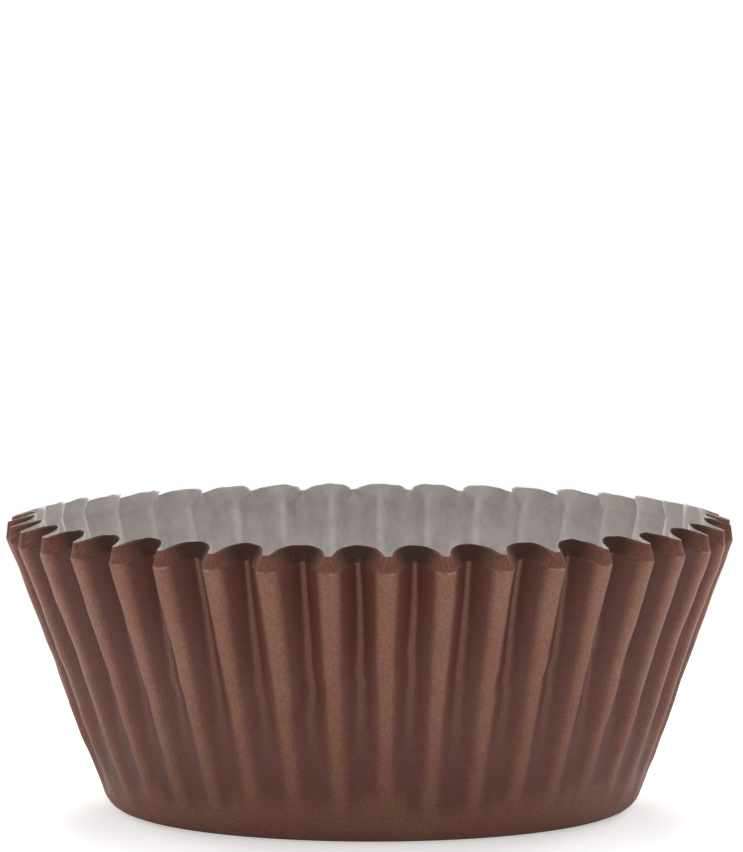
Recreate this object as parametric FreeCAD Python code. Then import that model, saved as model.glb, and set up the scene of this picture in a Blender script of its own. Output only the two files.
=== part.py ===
"""Paper cupcake liner: one disc of paper pressed into a pleated cup.

A flat bottom turns up through a rounded heel into a flared wall. The wall is
gathered into flutes, which start from nothing above the heel and are deepest at
a crease near the top, where a narrow lip bends inwards. The paper is modelled
as flat facets, with two sides to each flute round the bottom. Millimetres, +Z
up, origin on the ground at the middle of the bottom.
"""
import FreeCAD, Part

import math
import os

from FreeCAD import Rotation, Vector

# Name, value and meaning of each size: lengths in millimetres, angles in degrees.
SIZES = [
    ("flute_count", 40, "flutes round the wall"),
    ("paper", 0.1, "thickness of the paper"),
    ("base_diameter", 50.6, "bottom, out to the corner where wall and ground would meet"),
    ("heel_radius", 2.3, "outside rounding from the bottom into the wall"),
    ("foot_height", 3.2, "top of the plain foot, where the flutes start"),
    ("crease_diameter", 70, "crease, over the crests"),
    ("crease_height", 26, "crease, on a crest"),
    ("crease_depth", 2.6, "crest to valley at the crease"),
    ("valley_rise", 0.8, "how much higher the crease runs in a valley than on a crest"),
    ("flank_angle", 64, "turn of the paper from a crest into its flank, at the crease"),
    ("crest_radius", 0.4, "rounding beside a crest at the crease"),
    ("valley_radius", 0.25, "rounding beside a valley at the crease"),
    ("valley_width", 0.25, "floor of a valley at the crease"),
    ("fade_height", 8.5, "level below which the flutes fade away, on a crest"),
    ("fade_depth", 0.9, "crest to valley there"),
    ("fade_flank_angle", 42, "turn of the paper from a crest into its flank there"),
    ("fade_crest_radius", 0.9, "rounding beside a crest there"),
    ("fade_valley_radius", 0.6, "rounding beside a valley there"),
    ("fade_valley_width", 0.6, "floor of a valley there"),
    ("lip_height", 1.6, "upright height of the lip above the crease"),
    ("lip_lean", 0.35, "how far the lip leans in from the crease"),
    ("lip_depth", 2.65, "crest to valley at the free edge"),
    ("lip_flank_angle", 68, "turn of the paper from a crest into its flank, at the free edge"),
    ("lip_crest_radius", 0.35, "rounding beside a crest at the free edge"),
    ("lip_crest_width", 0.2, "flat left over a crest at the free edge"),
    ("lip_valley_width", 0.5, "floor of a valley at the free edge"),
]

# Facets in the heel, and in each rounding beside a crest or a valley.
HEEL_FACETS = 4
CREST_FACETS = 3
VALLEY_FACETS = 3

AXIS = Vector(0, 0, 1)
ORIGIN = Vector(0, 0, 0)
SEW_GAP = 1e-5

doc = FreeCAD.newDocument("cupcake_liner")


def make_sheet():
    """The driving dimensions, one named cell each."""
    sheet = doc.addObject("Spreadsheet::Sheet", "sizes")
    for row, (name, value, meaning) in enumerate(SIZES, start=1):
        sheet.set(f"A{row}", name)
        sheet.set(f"B{row}", str(value))
        sheet.set(f"C{row}", meaning)
        sheet.setAlias(f"B{row}", name)
    doc.recompute()
    return sheet


sheet = make_sheet()

FLUTES = int(sheet.flute_count)
HALF_PITCH = math.pi / FLUTES

# The wall's lean out from upright, along a crest, and its radius where the flutes start.
FLARE = math.atan((sheet.crease_diameter - sheet.base_diameter) / 2 / sheet.crease_height)
FOOT_RADIUS = sheet.base_diameter / 2 + sheet.foot_height * math.tan(FLARE)


def around(radius, angle, height):
    """A point at a radius and an angle about the axis."""
    return Vector(radius * math.cos(angle), radius * math.sin(angle), height)


def next_flute(point):
    """The same point on the neighbouring flute."""
    return Rotation(AXIS, math.degrees(2 * HALF_PITCH)).multVec(point)


def mirrored(points):
    """The same points on the other side of the crest, in the order of going round."""
    return [Vector(point.x, -point.y, point.z) for point in reversed(points)]


def facet(*corners):
    return Part.Face(Part.makePolygon([*corners, corners[0]]))


def plain_row(radius, height):
    """One flute's share of a round level: two sides that meet under the crest."""
    return [around(radius, angle, height) for angle in (-HALF_PITCH, 0, HALF_PITCH)]


def foot_rows(inset):
    """Levels from the edge of the flat bottom, round the heel, to the top of the foot."""
    heel = sheet.heel_radius
    flat = sheet.base_diameter / 2 - heel * math.tan((math.pi / 2 - FLARE) / 2)
    rows = []
    for step in range(HEEL_FACETS + 1):
        turn = (math.pi / 2 - FLARE) * step / HEEL_FACETS
        out = (heel - inset) * math.sin(turn)
        down = (heel - inset) * math.cos(turn)
        rows.append(plain_row(flat + out, heel - down))
    rows.append(plain_row(FOOT_RADIUS - inset / math.cos(FLARE), sheet.foot_height))
    return rows


def fluted_row(inset, radius, height, depth, flank_angle, crest_radius, valley_radius, valley_width):
    """One flute's share of a fluted level, from valley floor over the crest to valley floor.

    Half of it is worked out, with the crest at y = 0 and the valley half a pitch away:
    flat over the crest, a turn by the flank angle, straight down the flank, and a turn
    back on to the valley's floor. The level rises as it goes in, by valley_rise over the
    depth of the crease. Inset is the distance in from the outer face of the paper.
    """
    turn = math.radians(flank_angle)
    off_flank = around(1, turn, 0)
    off_valley = around(1, HALF_PITCH, 0)
    along_valley = around(1, HALF_PITCH + math.pi / 2, 0)

    floor_end = off_valley * (radius - depth) - along_valley * (valley_width / 2)
    valley_middle = floor_end + off_valley * valley_radius
    crest_x = radius - crest_radius
    middles_apart = crest_radius + valley_radius
    crest_y = (valley_middle.dot(off_flank) - crest_x * off_flank.x - middles_apart) / off_flank.y
    crest_middle = Vector(crest_x, crest_y, 0)

    half = []
    for step in range(CREST_FACETS + 1):
        angle = turn * step / CREST_FACETS
        half.append(crest_middle + around(crest_radius - inset, angle, 0))
    for step in range(VALLEY_FACETS + 1):
        angle = turn + (HALF_PITCH - turn) * step / VALLEY_FACETS
        half.append(valley_middle - around(valley_radius + inset, angle, 0))

    slope = sheet.valley_rise / sheet.crease_depth
    half = [Vector(point.x, point.y, height + slope * (radius - point.x)) for point in half]
    return mirrored(half) + half


def fade_row(inset):
    """The level where the flutes have begun to show."""
    radius = sheet.base_diameter / 2 + sheet.fade_height * math.tan(FLARE)
    return fluted_row(
        inset, radius, sheet.fade_height, sheet.fade_depth, sheet.fade_flank_angle,
        sheet.fade_crest_radius, sheet.fade_valley_radius, sheet.fade_valley_width)


def crease_row(inset):
    """The crease, where the flutes are deepest: broad crests and narrow valleys."""
    return fluted_row(
        inset, sheet.crease_diameter / 2, sheet.crease_height, sheet.crease_depth,
        sheet.flank_angle, sheet.crest_radius, sheet.valley_radius, sheet.valley_width)


def lip_valley_radius(radius):
    """The rounding beside a valley of the free edge that leaves each crest its named flat.

    It solves fluted_row's crest_y for the valley's radius, so it follows the pitch.
    """
    turn = math.radians(sheet.lip_flank_angle)
    rest = turn - HALF_PITCH
    floor = (radius - sheet.lip_depth) * math.cos(rest) - sheet.lip_valley_width / 2 * math.sin(rest)
    crest = (radius - sheet.lip_crest_radius) * math.cos(turn) + sheet.lip_crest_radius
    flat = sheet.lip_crest_width / 2 * math.sin(turn)
    return (floor - crest - flat) / (1 - math.cos(rest))


def edge_row(inset):
    """The free edge of the lip: narrow crests and broad valleys."""
    radius = sheet.crease_diameter / 2 - sheet.lip_lean
    return fluted_row(
        inset, radius, sheet.crease_height + sheet.lip_height, sheet.lip_depth, sheet.lip_flank_angle,
        sheet.lip_crest_radius, lip_valley_radius(radius), sheet.lip_valley_width)


def band(low, high):
    """Flat four-sided facets between two rows whose sides are parallel."""
    return [facet(low[i], low[i + 1], high[i + 1], high[i]) for i in range(len(low) - 1)]


def folded_band(low, high):
    """Facets between two fluted rows whose flanks turn by different angles.

    The crest and the valley's floor stay four-sided. Each strip between them is folded
    along a diagonal, and the diagonals of the two flanks mirror each other.
    """
    half = len(low) // 2
    faces = [facet(low[half - 1], low[half], high[half], high[half - 1])]
    faces.append(facet(low[-1], next_flute(low[0]), next_flute(high[0]), high[-1]))
    for i in range(half - 1):
        faces.append(facet(low[i], low[i + 1], high[i]))
        faces.append(facet(low[i + 1], high[i + 1], high[i]))
    for i in range(half, len(low) - 1):
        faces.append(facet(low[i], low[i + 1], high[i + 1]))
        faces.append(facet(low[i], high[i + 1], high[i]))
    return faces


def foot_fans(foot, faded):
    """The lower part of one flute, up to where it has begun to show.

    Each side is a fan of long facets that all run out at one point of the foot, under
    the middle of the valley, so that the flute fades away there.
    """
    left, middle, right = foot
    half = len(faded) // 2
    faces = [facet(left, faded[i], faded[i + 1]) for i in range(half - 1)]
    faces += [facet(right, faded[i], faded[i + 1]) for i in range(half, len(faded) - 1)]
    faces.append(facet(left, middle, faded[half - 1]))
    faces.append(facet(middle, faded[half], faded[half - 1]))
    faces.append(facet(middle, right, faded[half]))
    faces.append(facet(right, faded[-1], next_flute(faded[0])))
    return faces


def closed_row(row):
    """The row and the first point of the next flute, so that it spans the valley's floor."""
    return row + [next_flute(row[0])]


def flute_facets():
    """All facets of one flute: outer face, inner face and the cut edge between them."""
    faces = []
    for inset in (0, sheet.paper):
        rows = foot_rows(inset)
        for low, high in zip(rows, rows[1:]):
            faces += band(low, high)
        faces += foot_fans(rows[-1], fade_row(inset))
        faces += folded_band(fade_row(inset), crease_row(inset))
        faces += folded_band(crease_row(inset), edge_row(inset))
    faces += band(closed_row(edge_row(0)), closed_row(edge_row(sheet.paper)))
    return faces


def bottom_facet(inset):
    """The flat bottom, with its outline on the first level of the heel."""
    left, middle, _ = foot_rows(inset)[0]
    corners = []
    for _ in range(FLUTES):
        corners += [left, middle]
        left, middle = next_flute(left), next_flute(middle)
    return facet(*corners)


def make_liner():
    """The whole paper: every flute's facets and the bottom, sewn into one solid."""
    faces = [bottom_facet(0), bottom_facet(sheet.paper)]
    one_flute = Part.Compound(flute_facets())
    for flute in range(FLUTES):
        copy = one_flute.copy()
        copy.rotate(ORIGIN, AXIS, math.degrees(2 * HALF_PITCH * flute))
        faces += copy.Faces
    skin = Part.Compound(faces)
    skin.sewShape(SEW_GAP)
    solid = Part.Solid(skin.Shells[0])
    if solid.Volume < 0:
        solid.reverse()
    liner = doc.addObject("Part::Feature", "liner")
    liner.Label = "liner"
    liner.Shape = solid
    return liner


def check(item):
    """Stops the build if an object failed or its shape isn't one sound solid."""
    failed = [one.Label for one in doc.Objects if {"Invalid", "Error"} & set(one.State)]
    if failed:
        raise RuntimeError(f"failed objects: {failed}")
    shape = item.Shape
    if shape.isNull() or not shape.isValid() or len(shape.Solids) != 1:
        raise RuntimeError(f"{item.Label} isn't one valid solid")


liner = make_liner()
doc.recompute()
check(liner)
os.makedirs("parts", exist_ok=True)
liner.Shape.exportStep(f"parts/{liner.Label}.step")
box = liner.Shape.BoundBox
print(f"{liner.Label}: {box.XLength:.1f} x {box.YLength:.1f} x {box.ZLength:.1f} mm")
print(f"{liner.Shape.Volume:.0f} mm3, {len(liner.Shape.Faces)} facets")
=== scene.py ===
import math

import bpy
import numpy as np
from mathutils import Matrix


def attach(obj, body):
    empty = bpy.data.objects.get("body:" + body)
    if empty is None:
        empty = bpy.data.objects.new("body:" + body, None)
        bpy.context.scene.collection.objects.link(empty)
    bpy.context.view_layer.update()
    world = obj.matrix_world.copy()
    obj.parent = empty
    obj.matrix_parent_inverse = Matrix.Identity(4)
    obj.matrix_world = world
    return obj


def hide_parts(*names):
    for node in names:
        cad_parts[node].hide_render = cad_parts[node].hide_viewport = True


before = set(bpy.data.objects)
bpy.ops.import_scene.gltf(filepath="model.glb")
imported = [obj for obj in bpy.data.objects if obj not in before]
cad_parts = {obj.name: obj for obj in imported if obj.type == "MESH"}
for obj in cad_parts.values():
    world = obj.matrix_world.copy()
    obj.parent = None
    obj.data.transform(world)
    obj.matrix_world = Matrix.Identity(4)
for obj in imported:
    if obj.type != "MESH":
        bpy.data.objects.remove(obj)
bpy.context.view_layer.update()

bl_info = {
    "name": "Pleated paper liner",
    "version": (1, 0, 0),
    "blender": (4, 5, 0),
    "location": "View3D > Sidebar > Liner",
    "description": "A pleated paper baking cup with a creased lip, and a plain studio for it",
    "category": "Add Mesh",
}

MM = 0.001
NODE = "liner"
PAPER_MAP = "paper"
# The mesh attribute that carries the painted shade of the folds.
SHADE = "shade"

# How many steps the surface takes over half a flute, and up each stretch of the paper.
HALF_FLUTE_STEPS = 11
DISC_STEPS = 2
HEEL_STEPS = 5
WALL_STEPS = 34
LIP_STEPS = 6
# The steps beside the crease are short and keep it crisp: below it a length, above it a share
# of the lip.
BELOW_CREASE = 0.12 * MM
ABOVE_CREASE = 0.07
# A section is worked out over this many points, and its bends get more of the surface's steps.
SECTION_POINTS = 800
BEND_WEIGHT = 1.6

# Sections of a flute where it begins to show, at the crease and at the free edge: the flat of
# its crest, the bend of its crest, the slope of its flank and the bend of its valley.
FADED_SECTION = (0.05 * MM, 0.8 * MM, math.radians(38), 2.2 * MM)
CREASED_SECTION = (0.2 * MM, 1.05 * MM, math.radians(56), 0.3 * MM)
EDGE_SECTION = (0.08 * MM, 0.25 * MM, math.radians(75), 2.3 * MM)

# How uneven the flutes are at the crease: sideways as shares of the pitch, in depth as shares
# of the depth and outwards as a length. At fade height they are FADE_UNEVEN times as uneven.
# All random draws start from the seed.
SEED = 11
SIDE_WANDER = 0.045
CREST_PUSH = 0.10
VALLEY_PUSH = 0.16
DEPTH_WANDER = 0.08
DEPTH_DENT = 0.12
OUT_WANDER = 0.09 * MM
FADE_UNEVEN = 0.4
# The least and the greatest power by which a flute fades away towards the foot.
FADE_POWERS = (0.8, 1.8)

# The buckles of the wall: their height, how much it varies, and the least and greatest width.
BUCKLE_HEIGHT = 15.5 * MM
BUCKLE_SPREAD = 1.6 * MM
BUCKLE_WIDTHS = (0.8 * MM, 1.8 * MM)

# Where the flutes stand further apart: the place round the cup, how far it spreads and how
# far the flutes there are turned.
STRETCH_PLACE = math.radians(195.5)
STRETCH_SPREAD = math.radians(12)
STRETCH_TURN = math.radians(-1.8)

# The wall's slight bulge: how far out, how high up and over what height.
BULGE = 0.2 * MM
BULGE_HEIGHT = 8.5 * MM
BULGE_SPREAD = 4 * MM

# Crumpling of the paper and fraying of its edge: how far, then the shortest ripple, the
# longest ripple and their number.
CRUMPLE = 0.04 * MM
CRUMPLE_RIPPLES = (2.2 * MM, 7 * MM, 26)
FRAY = 0.05 * MM
FRAY_RIPPLES = (1.2 * MM, 6 * MM, 14)

# The share of its height at which the leaning cup is centred.
LEAN_CENTRE = 0.4

# The floor lies this far under the cup, so that the two faces don't share a plane, and
# reaches this far from it.
FLOOR_GAP = 0.02 * MM
FLOOR_REACH = 0.6
# Name, place, width and power of each soft light. They face the middle of the cup.
LIT_POINT = (0, 0, 0.014)
SOFT_LIGHTS = (
    ("top_light", (0, -0.05, 0.7), 0.6, 1.6),
    ("back_light", (0, 0.35, 0.6), 0.4, 3.7),
    ("left_light", (-0.42, 0.58, 0.2), 0.3, 2.5),
    ("right_light", (0.42, 0.58, 0.2), 0.3, 3.0),
)


class LinerSizes(bpy.types.PropertyGroup):
    """The real sizes of the cup."""
    flutes: bpy.props.IntProperty(
        name="Flutes", description="Flutes round the wall", default=40, min=8)
    paper: bpy.props.FloatProperty(
        name="Paper", description="Thickness of the paper", default=0.1 * MM, unit="LENGTH")
    base_radius: bpy.props.FloatProperty(
        name="Bottom radius", description="To the corner where wall and ground would meet",
        default=25.3 * MM, unit="LENGTH")
    heel_radius: bpy.props.FloatProperty(
        name="Heel", description="Outside rounding from the bottom into the wall",
        default=2.3 * MM, unit="LENGTH")
    foot_height: bpy.props.FloatProperty(
        name="Foot", description="Height at which the flutes start", default=1.9 * MM, unit="LENGTH")
    crease_radius: bpy.props.FloatProperty(
        name="Crease radius", description="To a crest at the crease", default=35 * MM, unit="LENGTH")
    crease_height: bpy.props.FloatProperty(
        name="Crease height", description="Of the crease on a crest", default=26 * MM, unit="LENGTH")
    crease_depth: bpy.props.FloatProperty(
        name="Flute depth", description="Crest to valley at the crease", default=2.6 * MM,
        unit="LENGTH")
    fade_height: bpy.props.FloatProperty(
        name="Fade height", description="Level below which the flutes fade away", default=8.5 * MM,
        unit="LENGTH")
    fade_depth: bpy.props.FloatProperty(
        name="Fade depth", description="Crest to valley there", default=0.7 * MM, unit="LENGTH")
    valley_rise: bpy.props.FloatProperty(
        name="Valley rise", description="How much higher the crease runs in a valley than on a crest",
        default=0.8 * MM, unit="LENGTH")
    lip_height: bpy.props.FloatProperty(
        name="Lip height", description="Of the free edge above the crease", default=1.6 * MM,
        unit="LENGTH")
    lip_lean: bpy.props.FloatProperty(
        name="Lip lean", description="How far the lip leans in", default=0.12 * MM, unit="LENGTH")
    lean: bpy.props.FloatProperty(
        name="Lean", description="How far the top sits to the left of the bottom", default=0.26 * MM,
        unit="LENGTH")


class LinerColours(bpy.types.PropertyGroup):
    """The colours of the printed paper, its bare inside and its cut edge."""
    outside: bpy.props.FloatVectorProperty(
        name="Outside", description="Printed outside", subtype="COLOR", default=(0.270, 0.101, 0.065))
    lip: bpy.props.FloatVectorProperty(
        name="Lip", description="Burnished outside of the lip", subtype="COLOR",
        default=(0.235, 0.090, 0.058))
    worn: bpy.props.FloatVectorProperty(
        name="Worn print", description="Paper that shows where the print is cracked at the crease",
        subtype="COLOR", default=(0.50, 0.40, 0.34))
    inside: bpy.props.FloatVectorProperty(
        name="Inside", description="Greaseproof inside", subtype="COLOR", default=(0.70, 0.66, 0.64))
    cut: bpy.props.FloatVectorProperty(
        name="Cut edge", description="Bare cut edge", subtype="COLOR", default=(0.42, 0.33, 0.28))


class StudioSettings(bpy.types.PropertyGroup):
    """Where the camera stands, how it is turned and its focal length."""
    distance: bpy.props.FloatProperty(
        name="Camera distance", description="From the cup's axis", default=532.4 * MM, unit="LENGTH")
    height: bpy.props.FloatProperty(
        name="Camera height", description="Above the ground", default=77.7 * MM, unit="LENGTH")
    around: bpy.props.FloatProperty(
        name="Camera turn", description="Round the cup from straight in front",
        default=math.radians(-2.55), subtype="ANGLE")
    tilt: bpy.props.FloatProperty(
        name="Camera tilt", description="Down from level", default=0.0767, subtype="ANGLE")
    focal_pixels: bpy.props.FloatProperty(
        name="Focal length", description="In pixels of the picture's height", default=5540)
    picture_height: bpy.props.FloatProperty(
        name="Picture height", description="In pixels", default=852)


def smooth(value, low, high):
    """0 below low, 1 above high, and 3 t^2 - 2 t^3 between them, with t the way from low to high."""
    share = np.clip((value - low) / (high - low), 0, 1)
    return share * share * (3 - 2 * share)


def bell(value, middle, spread):
    """exp(-t^2), with t the distance from the middle over the spread."""
    over = (value - middle) / spread
    return np.exp(-over * over)


def flute_half(half_pitch, depth, crest_flat, crest_bend, flank_angle, valley_bend):
    """Half a flute's section, from the middle of its crest to the middle of its valley.

    The paper is followed along its length. Its turn from straight across is 0 over the
    crest, grows evenly to flank_angle over the crest's bend, holds down the flank and falls
    back to 0 over the valley's bend. Across is the sum of cos(turn) and inward the sum of
    sin(turn) along the paper, each given as a share of its whole.
    """
    both_bends = crest_bend + valley_bend
    flank = (depth - both_bends * (1 - math.cos(flank_angle))) / math.sin(flank_angle)
    spent = crest_flat + both_bends * math.sin(flank_angle) + flank * math.cos(flank_angle)
    valley_flat = half_pitch - spent
    knots = np.cumsum([
        0, crest_flat, crest_bend * flank_angle, flank, valley_bend * flank_angle, valley_flat])
    along = np.linspace(0, knots[-1], SECTION_POINTS)
    turn = np.interp(along, knots, [0, 0, flank_angle, flank_angle, 0, 0])
    step = along[1]
    across = np.append(0, np.cumsum((np.cos(turn[1:]) + np.cos(turn[:-1])) / 2 * step))
    inward = np.append(0, np.cumsum((np.sin(turn[1:]) + np.sin(turn[:-1])) / 2 * step))
    bent = np.append(0, np.cumsum(np.abs(np.diff(turn))))
    measure = along / along[-1] + BEND_WEIGHT * bent / bent[-1]
    stations = np.linspace(0, measure[-1], HALF_FLUTE_STEPS + 1)
    across = np.interp(stations, measure, across)
    inward = np.interp(stations, measure, inward)
    return across / across[-1], inward / inward[-1]


def paper_rows(sizes):
    """The levels of the paper on a crest, from the middle of the bottom to the free edge.

    Each level has a radius and a height on the crest line, how far up the lip it is (0 at
    the crease, 1 at the free edge) and its distance along the paper. The heel is an arc
    between the ground and the straight, leaning wall.
    """
    flare = math.atan2(sizes.crease_radius - sizes.base_radius, sizes.crease_height)
    heel = sizes.heel_radius
    flat = sizes.base_radius - heel * math.tan((math.pi / 2 - flare) / 2)
    disc = flat * np.linspace(0, 1, DISC_STEPS + 1)[1:]
    turn = (math.pi / 2 - flare) * np.linspace(0, 1, HEEL_STEPS + 1)[1:]
    heel_height = heel - heel * np.cos(turn)
    wall_height = np.linspace(heel_height[-1], sizes.crease_height - BELOW_CREASE, WALL_STEPS)[1:]
    wall_height = np.append(wall_height, sizes.crease_height)
    lip = np.append(ABOVE_CREASE, np.linspace(0, 1, LIP_STEPS + 1)[1:])

    radius = np.concatenate([
        disc, flat + heel * np.sin(turn),
        sizes.base_radius + wall_height * math.tan(flare),
        sizes.crease_radius - sizes.lip_lean * lip])
    height = np.concatenate([
        np.zeros(DISC_STEPS), heel_height, wall_height, sizes.crease_height + sizes.lip_height * lip])
    up_lip = np.concatenate([np.zeros(len(radius) - len(lip)), lip])
    along = np.cumsum(np.hypot(np.diff(radius, prepend=0), np.diff(height, prepend=0)))
    return radius, height, up_lip, along


def wander(random, rows, count, waves):
    """Smooth unevenness of each flute with height, between about -1 and 1.

    For every flute it is the sum over the waves of strength * cos(2 pi * wave * height +
    start). Height runs from 0 to 1 over the rows, so a wave is how many times it swings
    there and back over them, and strength and start are random.
    """
    height = np.linspace(0, 1, rows)[:, None, None]
    wave = np.asarray(waves, float)
    start = random.uniform(0, 2 * math.pi, (count, len(wave)))
    strength = random.uniform(0.4, 1, (count, len(wave))) / np.sqrt(len(wave))
    return (strength * np.cos(2 * math.pi * wave * height + start)).sum(axis=2)


def buckles(random, height, count):
    """A small buckle in each flute near the middle of the wall: a push to one side and a dent.

    With t the height above the buckle over its width, the dent is strength * exp(-t^2), and
    the push is t times the dent.
    """
    middle = random.normal(BUCKLE_HEIGHT, BUCKLE_SPREAD, count)
    width = random.uniform(*BUCKLE_WIDTHS, count)
    strength = random.uniform(-1, 1, count)
    dent = strength * bell(height, middle, width)
    return (height - middle) / width * dent, dent


def stretched(angle):
    """The angle with the flutes' wider spacing on the left: turned by a bell curve of itself."""
    return angle + STRETCH_TURN * bell(angle, STRETCH_PLACE, STRETCH_SPREAD)


def ripples(random, around, up, shortest, longest, count):
    """Crumpling over the paper: a sum of plane waves cos(k . place + start), scaled to about 1."""
    length = np.exp(random.uniform(math.log(shortest), math.log(longest), count))
    heading = random.uniform(0, math.pi, count)
    start = random.uniform(0, 2 * math.pi, count)
    total = np.zeros_like(around)
    for size, angle, offset in zip(length, heading, start):
        place = around * math.cos(angle) + up * math.sin(angle)
        total += np.cos(2 * math.pi * place / size + offset)
    return total / math.sqrt(count)


def across_flutes(crest, valley, share):
    """Values at a crest and at the valleys beside it, spread over each flute by the section's share.

    Each flute runs from the valley on its left (the last one's valley, for the first) over
    the crest and down again, short of the valley on its right.
    """
    before, after = valley
    left = crest[:, :, None] + (before - crest)[:, :, None] * share[:, None, :0:-1]
    right = crest[:, :, None] + (after - crest)[:, :, None] * share[:, None, :-1]
    return np.concatenate([left, right], axis=2).reshape(len(crest), -1)


def flute_sections(sizes, near_crease, on_lip):
    """Across and inward of half a flute on every row.

    The section blends from soft waves low on the wall to broad crests and narrow valleys at
    the crease, and up the lip to narrow crests and broad valleys.
    """
    flare = (sizes.crease_radius - sizes.base_radius) / sizes.crease_height
    half_turn = math.pi / sizes.flutes
    crease_half = sizes.crease_radius * half_turn
    fade_half = (sizes.base_radius + sizes.fade_height * flare) * half_turn
    faded = flute_half(fade_half, sizes.fade_depth, *FADED_SECTION)
    creased = flute_half(crease_half, sizes.crease_depth, *CREASED_SECTION)
    edged = flute_half(crease_half, sizes.crease_depth, *EDGE_SECTION)
    return [
        (low * (1 - near_crease) + mid * near_crease) * (1 - on_lip) + top * on_lip
        for low, mid, top in zip(faded, creased, edged)]


def painted_fold_shade(fold, depth_share, near_crease, on_lip):
    """Painted shade of the folds: how much darker the print is drawn, from 0 on a crest towards 1
    down a fold, in place of the shade that falls in the flutes.

    Low on the wall it grows softly over the whole fold and fades out with the flute's depth.
    Near the crease it is full within a third of the fold and falls back on the valley's
    floor, which faces outwards again. On the lip it is the fold itself, painted shade in the
    lip's valleys.
    """
    soft = 0.8 * smooth(fold, 0, 0.9) * smooth(depth_share, 0, 0.1)
    crisp = smooth(fold, 0, 0.3) * (1 - 0.65 * smooth(fold, 0.97, 1))
    return np.where(on_lip > 0, fold, soft * (1 - near_crease) + crisp * near_crease)


def liner_surface(sizes):
    """The outer face of the paper: points, paper map and painted shade over rows by columns.

    On a row the angle runs from each valley to the next over the crest between them, by the
    section's across, and the radius is the crest's less the flute's depth * inward. A point
    rises by valley_rise * inward * the flute's depth over its depth at the crease.
    """
    random = np.random.default_rng(SEED)
    radius, height, up_lip, along = paper_rows(sizes)
    rows = len(radius)
    flutes = sizes.flutes
    pitch = 2 * math.pi / flutes
    height = height[:, None]
    on_lip = up_lip[:, None]
    grown = np.clip((height - sizes.fade_height) / (sizes.crease_height - sizes.fade_height), 0, 1)
    started = np.clip((height - sizes.foot_height) / (sizes.fade_height - sizes.foot_height), 0, 1)
    uneven = FADE_UNEVEN * started + (1 - FADE_UNEVEN) * grown
    near_crease = np.sqrt(grown)
    across, inward = flute_sections(sizes, near_crease, on_lip)

    push, dent = buckles(random, height, flutes)
    crest_at = np.arange(flutes) * pitch + uneven * pitch * (
        SIDE_WANDER * wander(random, rows, flutes, (0.3, 0.7, 1.6)) + CREST_PUSH * push)
    valley_at = (np.arange(flutes) + 0.5) * pitch + uneven * pitch * (
        SIDE_WANDER * wander(random, rows, flutes, (0.3, 0.9, 1.8)) + VALLEY_PUSH * push)
    fade_power = random.uniform(*FADE_POWERS, flutes)
    crest_at = stretched(crest_at)
    valley_at = stretched(valley_at)
    even_depth = (
        sizes.fade_depth * started ** fade_power + (sizes.crease_depth - sizes.fade_depth) * grown)
    depth = even_depth * (
        1 + DEPTH_WANDER * wander(random, rows, flutes, (0.4, 1.1, 2.3)) + DEPTH_DENT * dent)
    crest_out = OUT_WANDER * uneven * (wander(random, rows, flutes, (0.8, 1.7, 2.9)) + dent)

    before = np.roll(valley_at, 1, axis=1)
    before[:, 0] -= 2 * math.pi
    angle = across_flutes(crest_at, (before, valley_at), across)
    drop = across_flutes(-crest_out, (np.roll(depth, 1, axis=1), depth), inward)
    one = np.ones_like(depth)
    fold = across_flutes(one * 0, (one, one), inward)
    depth_share = np.repeat(even_depth / sizes.crease_depth, 2 * HALF_FLUTE_STEPS, axis=1)
    # Painted shade: the print drawn darker down each fold, in place of the shade there.
    shade = painted_fold_shade(fold, depth_share, near_crease, on_lip)

    around = angle * sizes.crease_radius
    up = np.broadcast_to(along[:, None], angle.shape)
    crumple = ripples(random, around, up, *CRUMPLE_RIPPLES)
    frayed = ripples(random, around, up * 0, *FRAY_RIPPLES)
    out = radius[:, None] - drop + BULGE * bell(height, BULGE_HEIGHT, BULGE_SPREAD)
    out = out + CRUMPLE * crumple * np.clip(height / sizes.foot_height, 0, 1)
    rise = height + sizes.valley_rise * fold * depth_share
    rise = rise + FRAY * frayed * on_lip ** 2
    shear = sizes.lean * (LEAN_CENTRE - rise / sizes.crease_height)
    points = np.stack([out * np.cos(angle) + shear, out * np.sin(angle), rise], axis=2)
    paper = np.stack([angle / (2 * math.pi), up / along[-1]], axis=2)
    return points, paper, shade


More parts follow.
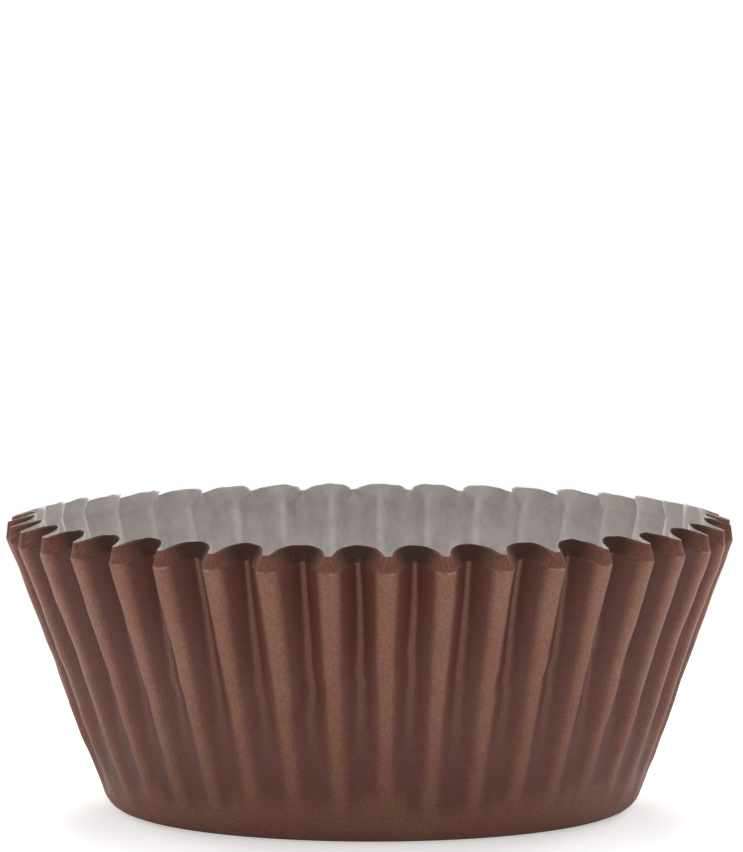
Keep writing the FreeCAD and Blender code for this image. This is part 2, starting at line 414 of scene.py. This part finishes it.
def sheet_mesh(name, points, paper, shade):
    """A mesh over closed rows of points, with a fan on the first row's middle.

    Face (row, column) joins points (row, column), (row, column + 1), (row + 1, column + 1)
    and (row + 1, column), and the last column joins the first.
    """
    rows, columns = points.shape[:2]
    column = np.arange(columns)
    after = (column + 1) % columns
    row = np.arange(rows - 1)[:, None] * columns
    quads = np.stack([row + column, row + after, row + columns + after, row + columns + column], axis=2)
    middle = rows * columns
    fan = np.stack([np.full(columns, middle), after, column], axis=1)
    vertices = np.concatenate([points.reshape(-1, 3), [[0, 0, points[0, 0, 2]]]])

    mesh = bpy.data.meshes.new(name)
    mesh.vertices.add(len(vertices))
    mesh.vertices.foreach_set("co", vertices.ravel())
    corners = np.concatenate([quads.reshape(-1), fan.reshape(-1)])
    sizes = np.concatenate([np.full((rows - 1) * columns, 4), np.full(columns, 3)])
    mesh.loops.add(len(corners))
    mesh.loops.foreach_set("vertex_index", corners)
    mesh.polygons.add(len(sizes))
    mesh.polygons.foreach_set("loop_start", np.concatenate([[0], np.cumsum(sizes)[:-1]]))
    mesh.update(calc_edges=True)

    chart = np.concatenate([paper.reshape(-1, 2), [[0.5, 0]]])[corners]
    # Where a face of the last column meets the first, its corners lie a whole turn further on.
    closing = np.repeat((quads[:, :, 1] % columns == 0).ravel(), 4)
    closing = np.append(closing, np.zeros(3 * columns, bool))
    chart[closing & (corners % columns == 0), 0] += 1
    layer = mesh.uv_layers.new(name=PAPER_MAP)
    layer.data.foreach_set("uv", chart.ravel())
    shading = mesh.attributes.new(SHADE, "FLOAT", "POINT")
    shading.data.foreach_set("value", np.append(shade.ravel(), 0))
    mesh.polygons.foreach_set("use_smooth", np.ones(len(sizes), bool))
    mesh.validate()
    return mesh


class Field:
    """A number that changes over a surface. Its operators add Math nodes."""

    def __init__(self, net, socket):
        self.net = net
        self.socket = socket

    def maths(self, operation, *values):
        return self.net.node("ShaderNodeMath", {"operation": operation}, dict(enumerate(values)))

    def __add__(self, other):
        return self.maths("ADD", self, other)

    def __sub__(self, other):
        return self.maths("SUBTRACT", self, other)

    def __rsub__(self, other):
        return self.maths("SUBTRACT", other, self)

    def __mul__(self, other):
        return self.maths("MULTIPLY", self, other)

    def __truediv__(self, other):
        return self.maths("DIVIDE", self, other)

    def __abs__(self):
        return self.maths("ABSOLUTE", self)

    __radd__ = __add__
    __rmul__ = __mul__


class Net:
    """The nodes of one material or world."""

    def __init__(self, owner):
        self.owner = owner
        owner.use_nodes = True
        self.tree = owner.node_tree
        self.tree.nodes.clear()

    def node(self, kind, settings=None, inputs=None, output=0):
        """Adds a node, sets it, fills or links its sockets and gives back one of its outputs."""
        node = self.tree.nodes.new(kind)
        for key, value in (settings or {}).items():
            setattr(node, key, value)
        for key, value in (inputs or {}).items():
            if isinstance(value, Field):
                self.tree.links.new(value.socket, node.inputs[key])
            elif isinstance(value, (tuple, list)) and len(node.inputs[key].default_value) == 4:
                node.inputs[key].default_value = (*tuple(value)[:3], 1)
            else:
                node.inputs[key].default_value = value
        return Field(self, node.outputs[output]) if len(node.outputs) else None

    def noise(self, place, scale, detail=2.0, roughness=0.5):
        """Noise with this many waves a metre, or a unit of the place."""
        return self.node("ShaderNodeTexNoise", {"noise_dimensions": "3D"}, {
            "Vector": place, "Scale": scale, "Detail": detail, "Roughness": roughness})

    def squeezed(self, place, scale):
        """The place, with each of its directions times its own scale."""
        return self.node("ShaderNodeMapping", None, {"Vector": place, "Scale": scale})

    def bump(self, height, strength, distance):
        """The surface's direction, bent by a relief of this height."""
        return self.node("ShaderNodeBump", None, {
            "Height": height, "Strength": strength, "Distance": distance})

    def step(self, value, low, high):
        """0 below low, 1 above high, and a smooth rise between them."""
        return self.node("ShaderNodeMapRange", {"interpolation_type": "SMOOTHSTEP"}, {
            "Value": value, "From Min": low, "From Max": high})

    def mix(self, share, one, other):
        """The colour one where share is 0 and other where it is 1."""
        return self.node("ShaderNodeMix", {"data_type": "RGBA"}, {0: share, 6: one, 7: other}, output=2)

    def finish(self, surface, kind="ShaderNodeOutputMaterial"):
        self.node(kind, None, {"Surface": surface})
        return self.owner


def tinted(colour, shares):
    """The colour, with each channel at its own share of itself."""
    return tuple(channel * share for channel, share in zip(colour, shares))


def darker(colour, share):
    """The colour, with all its channels at one share of themselves."""
    return tinted(colour, (share, share, share))


def grey(level):
    """A grey of this level."""
    return (level, level, level)


def printed_wall(net, colours, place, shade, grain):
    """The outside's colour on the wall: broad olive patches, scuffs partly painted as sheen, painted
    shade down the folds and dark grain.
    """
    outside = tuple(colours.outside)
    olive = tinted(outside, (0.95, 1.1, 0.92))
    # Painted shade: the darker, redder colour drawn down the folds.
    fold_shade_colour = tinted(outside, (0.48, 0.39, 0.37))
    blotch = net.noise(place, 420, 3.0)
    # Scuffs: lighter greyish patches that stand partly for rubbed print and partly for painted sheen.
    scuff_and_sheen = net.step(net.noise(place, 80), 0.5, 0.75)
    patches = net.step(net.noise(place, 150), 0.3, 0.7)
    wall = net.mix(patches, outside, olive)
    wall = net.mix(scuff_and_sheen * 0.08, wall, tuple(colours.worn))
    # Painted shade down the folds.
    wall = net.mix(shade, wall, fold_shade_colour)
    speckle = net.step(grain, 0.38, 0.62) * 0.36 + blotch * 0.15 - 0.1
    return net.mix(speckle, wall, darker(outside, 0.2))


def printed_lip(net, colours, chart, shade, grain):
    """The outside's colour on the lip: streaks up the paper, painted shade down the folds and pale
    scrapes.
    """
    burnished = tuple(colours.lip)
    dull = darker(burnished, 0.6)
    # Painted shade: the lip drawn darker over its valleys.
    fold_shade_colour = darker(burnished, 0.24)
    streaks = net.noise(net.squeezed(chart, (1900, 90, 1)), 1.0)
    streaked = net.step(streaks, 0.3, 0.7) * 0.8 + grain * 0.35 - 0.1
    lip = net.mix(streaked, dull, burnished)
    # Painted shade down the lip's folds.
    lip = net.mix(net.step(shade, 0.05, 0.9), lip, fold_shade_colour)
    scraped = net.step(streaks, 0.6, 0.8) * (1 - net.step(shade, 0, 0.4)) * 0.4
    return net.mix(scraped, lip, tuple(colours.worn))


def printed_outside(sizes, colours):
    """Brown printed paper: grained wall, darker streaked lip, cracks along the crease, and painted
    shade down the folds of wall and lip.
    """
    net = Net(bpy.data.materials.new("printed_outside"))
    place = net.node("ShaderNodeTexCoord", output="Object")
    chart = net.node("ShaderNodeUVMap", {"uv_map": PAPER_MAP})
    up = net.node("ShaderNodeSeparateXYZ", None, {0: chart}, output="Y")
    # The painted shade of the folds, read from the mesh.
    shade = net.node("ShaderNodeAttribute", {"attribute_name": SHADE}, output="Fac")
    _, _, up_lip, along = paper_rows(sizes)
    crease = along[np.argmax(up_lip > 0) - 1] / along[-1]
    millimetre = MM / along[-1]

    grain = net.noise(place, 4700, 2.0, 0.7)
    above = net.step(up, crease - 0.1 * millimetre, crease + 0.25 * millimetre)
    wall = printed_wall(net, colours, place, shade, grain)
    lip = printed_lip(net, colours, chart, shade, grain)
    colour = net.mix(above, wall, lip)

    # From the crease up the paper, in millimetres.
    off = (up - crease) / millimetre
    line = 1 - net.step(abs(off), 0.03, 0.14)
    broken = net.step(net.noise(place, 1500, 3.0), 0.40, 0.66)
    specks = net.step(net.noise(place, 3600, 1.0), 0.68, 0.76)
    near = 1 - net.step(off, 0.1, 1.3)
    cracks = line * broken * (1 - net.step(shade, 0.1, 0.7))
    flecks = specks * near * above
    colour = net.mix(cracks * 0.35 + flecks * 0.22, colour, tuple(colours.worn))

    rough = 0.55 + grain * 0.12 + above * 0.3
    relief = grain * 0.35 + net.noise(place, 1500) * 0.65
    surface = net.node("ShaderNodeBsdfPrincipled", None, {
        "Base Color": colour, "Roughness": rough,
        "Normal": net.bump(relief, 0.25, 0.03 * MM), "Specular IOR Level": 0.5})
    return net.finish(surface)


def greaseproof_inside(colours):
    """Pale uncoated paper: cloudy, with faint fibres."""
    net = Net(bpy.data.materials.new("greaseproof_inside"))
    place = net.node("ShaderNodeTexCoord", output="Object")
    cloud = net.noise(place, 520, 4.0, 0.6)
    fibre = net.noise(net.squeezed(place, (1, 1, 0.25)), 4200)
    share = net.step(cloud * 0.75 + fibre * 0.25, 0.3, 0.7)
    colour = net.mix(share, darker(colours.inside, 0.8), tuple(colours.inside))
    relief = cloud * 0.5 + fibre * 0.5
    surface = net.node("ShaderNodeBsdfPrincipled", None, {
        "Base Color": colour, "Roughness": 0.62,
        "Normal": net.bump(relief, 0.3, 0.04 * MM), "Specular IOR Level": 0.3})
    return net.finish(surface)


def cut_edge(colours):
    """The bare cut through the paper."""
    net = Net(bpy.data.materials.new("cut_edge"))
    place = net.node("ShaderNodeTexCoord", output="Object")
    ragged = net.step(net.noise(place, 2600), 0.35, 0.65)
    colour = net.mix(ragged, darker(colours.cut, 0.6), tuple(colours.cut))
    surface = net.node("ShaderNodeBsdfPrincipled", None, {"Base Color": colour, "Roughness": 0.8})
    return net.finish(surface)


class LINER_OT_paper(bpy.types.Operator):
    """Add the pleated paper in place of the plain solid"""
    bl_idname = "liner.paper"
    bl_label = "Add pleated paper"

    def execute(self, context):
        sizes = context.scene.liner_sizes
        colours = context.scene.liner_colours
        points, paper, shade = liner_surface(sizes)
        mesh = sheet_mesh("pleated_paper", points, paper, shade)
        materials = (printed_outside(sizes, colours), greaseproof_inside(colours), cut_edge(colours))
        for material in materials:
            mesh.materials.append(material)
        piece = bpy.data.objects.new("pleated_paper", mesh)
        context.scene.collection.objects.link(piece)
        # The sheet is the outer face. Its thickness goes inwards, and gives the inner face the
        # second material and the free edge the third.
        wall = piece.modifiers.new("thickness", "SOLIDIFY")
        wall.thickness = sizes.paper
        wall.offset = -1
        wall.use_even_offset = True
        wall.material_offset = 1
        wall.material_offset_rim = 2
        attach(piece, "root")
        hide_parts(NODE)
        return {"FINISHED"}


def pale_floor():
    """A matt floor that the camera sees as white and that fades out round the cup.

    Other rays meet a glow that grows away from the cup's middle. It stands for the light
    that a wide white table throws back onto the wall.
    """
    net = Net(bpy.data.materials.new("pale_floor"))
    seen = net.node("ShaderNodeLightPath", output="Is Camera Ray")
    place = net.node("ShaderNodeTexCoord", output="Object")
    out = net.node("ShaderNodeVectorMath", {"operation": "LENGTH"}, {0: place}, output="Value")
    bounce = net.step(out, -0.01, 0.08) * 0.38
    hidden = net.step(out, 0.06, 0.2) * seen
    return net.finish(net.node("ShaderNodeBsdfPrincipled", None, {
        "Base Color": net.mix(seen, grey(0.8), grey(0.9)), "Roughness": 1.0,
        "Specular IOR Level": 0.0, "Emission Color": net.mix(seen, bounce, grey(0.5)),
        "Emission Strength": 1.0, "Alpha": 1 - hidden}))


def studio_air():
    """A world that the camera sees as white and that lights the cup as a grey room does."""
    net = Net(bpy.data.worlds.new("studio"))
    seen = net.node("ShaderNodeLightPath", output="Is Camera Ray")
    glow = net.mix(seen, grey(0.29), grey(1))
    backdrop = net.node("ShaderNodeBackground", None, {"Color": glow, "Strength": 1.0})
    return net.finish(backdrop, "ShaderNodeOutputWorld")


def soft_light(name, place, size, watts):
    """A square soft light that faces the middle of the cup."""
    light = bpy.data.lights.new(name, "AREA")
    light.size = size
    light.energy = watts
    lamp = bpy.data.objects.new(name, light)
    lamp.location = place
    right, ahead, up = np.subtract(LIT_POINT, place)
    tilt = math.atan2(math.hypot(right, ahead), -up)
    lamp.rotation_euler = (tilt, 0, math.atan2(ahead, right) - math.pi / 2)
    return lamp


def photo_camera(studio):
    """The camera that fits the photograph's outline."""
    camera = bpy.data.cameras.new("camera")
    camera.sensor_width = 36
    camera.lens = studio.focal_pixels * camera.sensor_width / studio.picture_height
    camera.clip_start = 0.05
    camera.clip_end = 20
    viewer = bpy.data.objects.new("camera", camera)
    right = studio.distance * math.sin(studio.around)
    back = studio.distance * math.cos(studio.around)
    viewer.location = (right, -back, studio.height)
    viewer.rotation_euler = (math.pi / 2 - studio.tilt, 0, studio.around)
    return viewer


class LINER_OT_studio(bpy.types.Operator):
    """Add the pale floor, the soft lights and the camera"""
    bl_idname = "liner.studio"
    bl_label = "Add studio"

    def execute(self, context):
        scene = context.scene
        mesh = bpy.data.meshes.new("floor")
        corners = [(x * FLOOR_REACH, y * FLOOR_REACH, -FLOOR_GAP)
                   for x, y in ((-1, -1), (1, -1), (1, 1), (-1, 1))]
        mesh.from_pydata(corners, [], [(0, 1, 2, 3)])
        mesh.materials.append(pale_floor())
        floor = bpy.data.objects.new("floor", mesh)
        scene.collection.objects.link(floor)

        scene.world = studio_air()
        for soft in SOFT_LIGHTS:
            scene.collection.objects.link(soft_light(*soft))
        scene.camera = photo_camera(scene.liner_studio)
        scene.collection.objects.link(scene.camera)
        scene.view_settings.view_transform = "Standard"
        return {"FINISHED"}


class LINER_PT_panel(bpy.types.Panel):
    """The liner's tools"""
    bl_idname = "LINER_PT_panel"
    bl_label = "Pleated liner"
    bl_space_type = "VIEW_3D"
    bl_region_type = "UI"
    bl_category = "Liner"

    def draw(self, context):
        scene = context.scene
        for group in (scene.liner_sizes, scene.liner_colours, scene.liner_studio):
            for name in group.__annotations__:
                self.layout.prop(group, name)
        for operator in (LINER_OT_paper, LINER_OT_studio):
            self.layout.operator(operator.bl_idname)


CLASSES = (LinerSizes, LinerColours, StudioSettings, LINER_OT_paper, LINER_OT_studio, LINER_PT_panel)


def register():
    for one in CLASSES:
        bpy.utils.register_class(one)
    bpy.types.Scene.liner_sizes = bpy.props.PointerProperty(type=LinerSizes)
    bpy.types.Scene.liner_colours = bpy.props.PointerProperty(type=LinerColours)
    bpy.types.Scene.liner_studio = bpy.props.PointerProperty(type=StudioSettings)


def unregister():
    del bpy.types.Scene.liner_studio
    del bpy.types.Scene.liner_colours
    del bpy.types.Scene.liner_sizes
    for one in reversed(CLASSES):
        bpy.utils.unregister_class(one)


def main():
    """Builds the liner and its studio."""
    register()
    bpy.ops.liner.paper()
    bpy.ops.liner.studio()


if __name__ == "__main__":
    main()
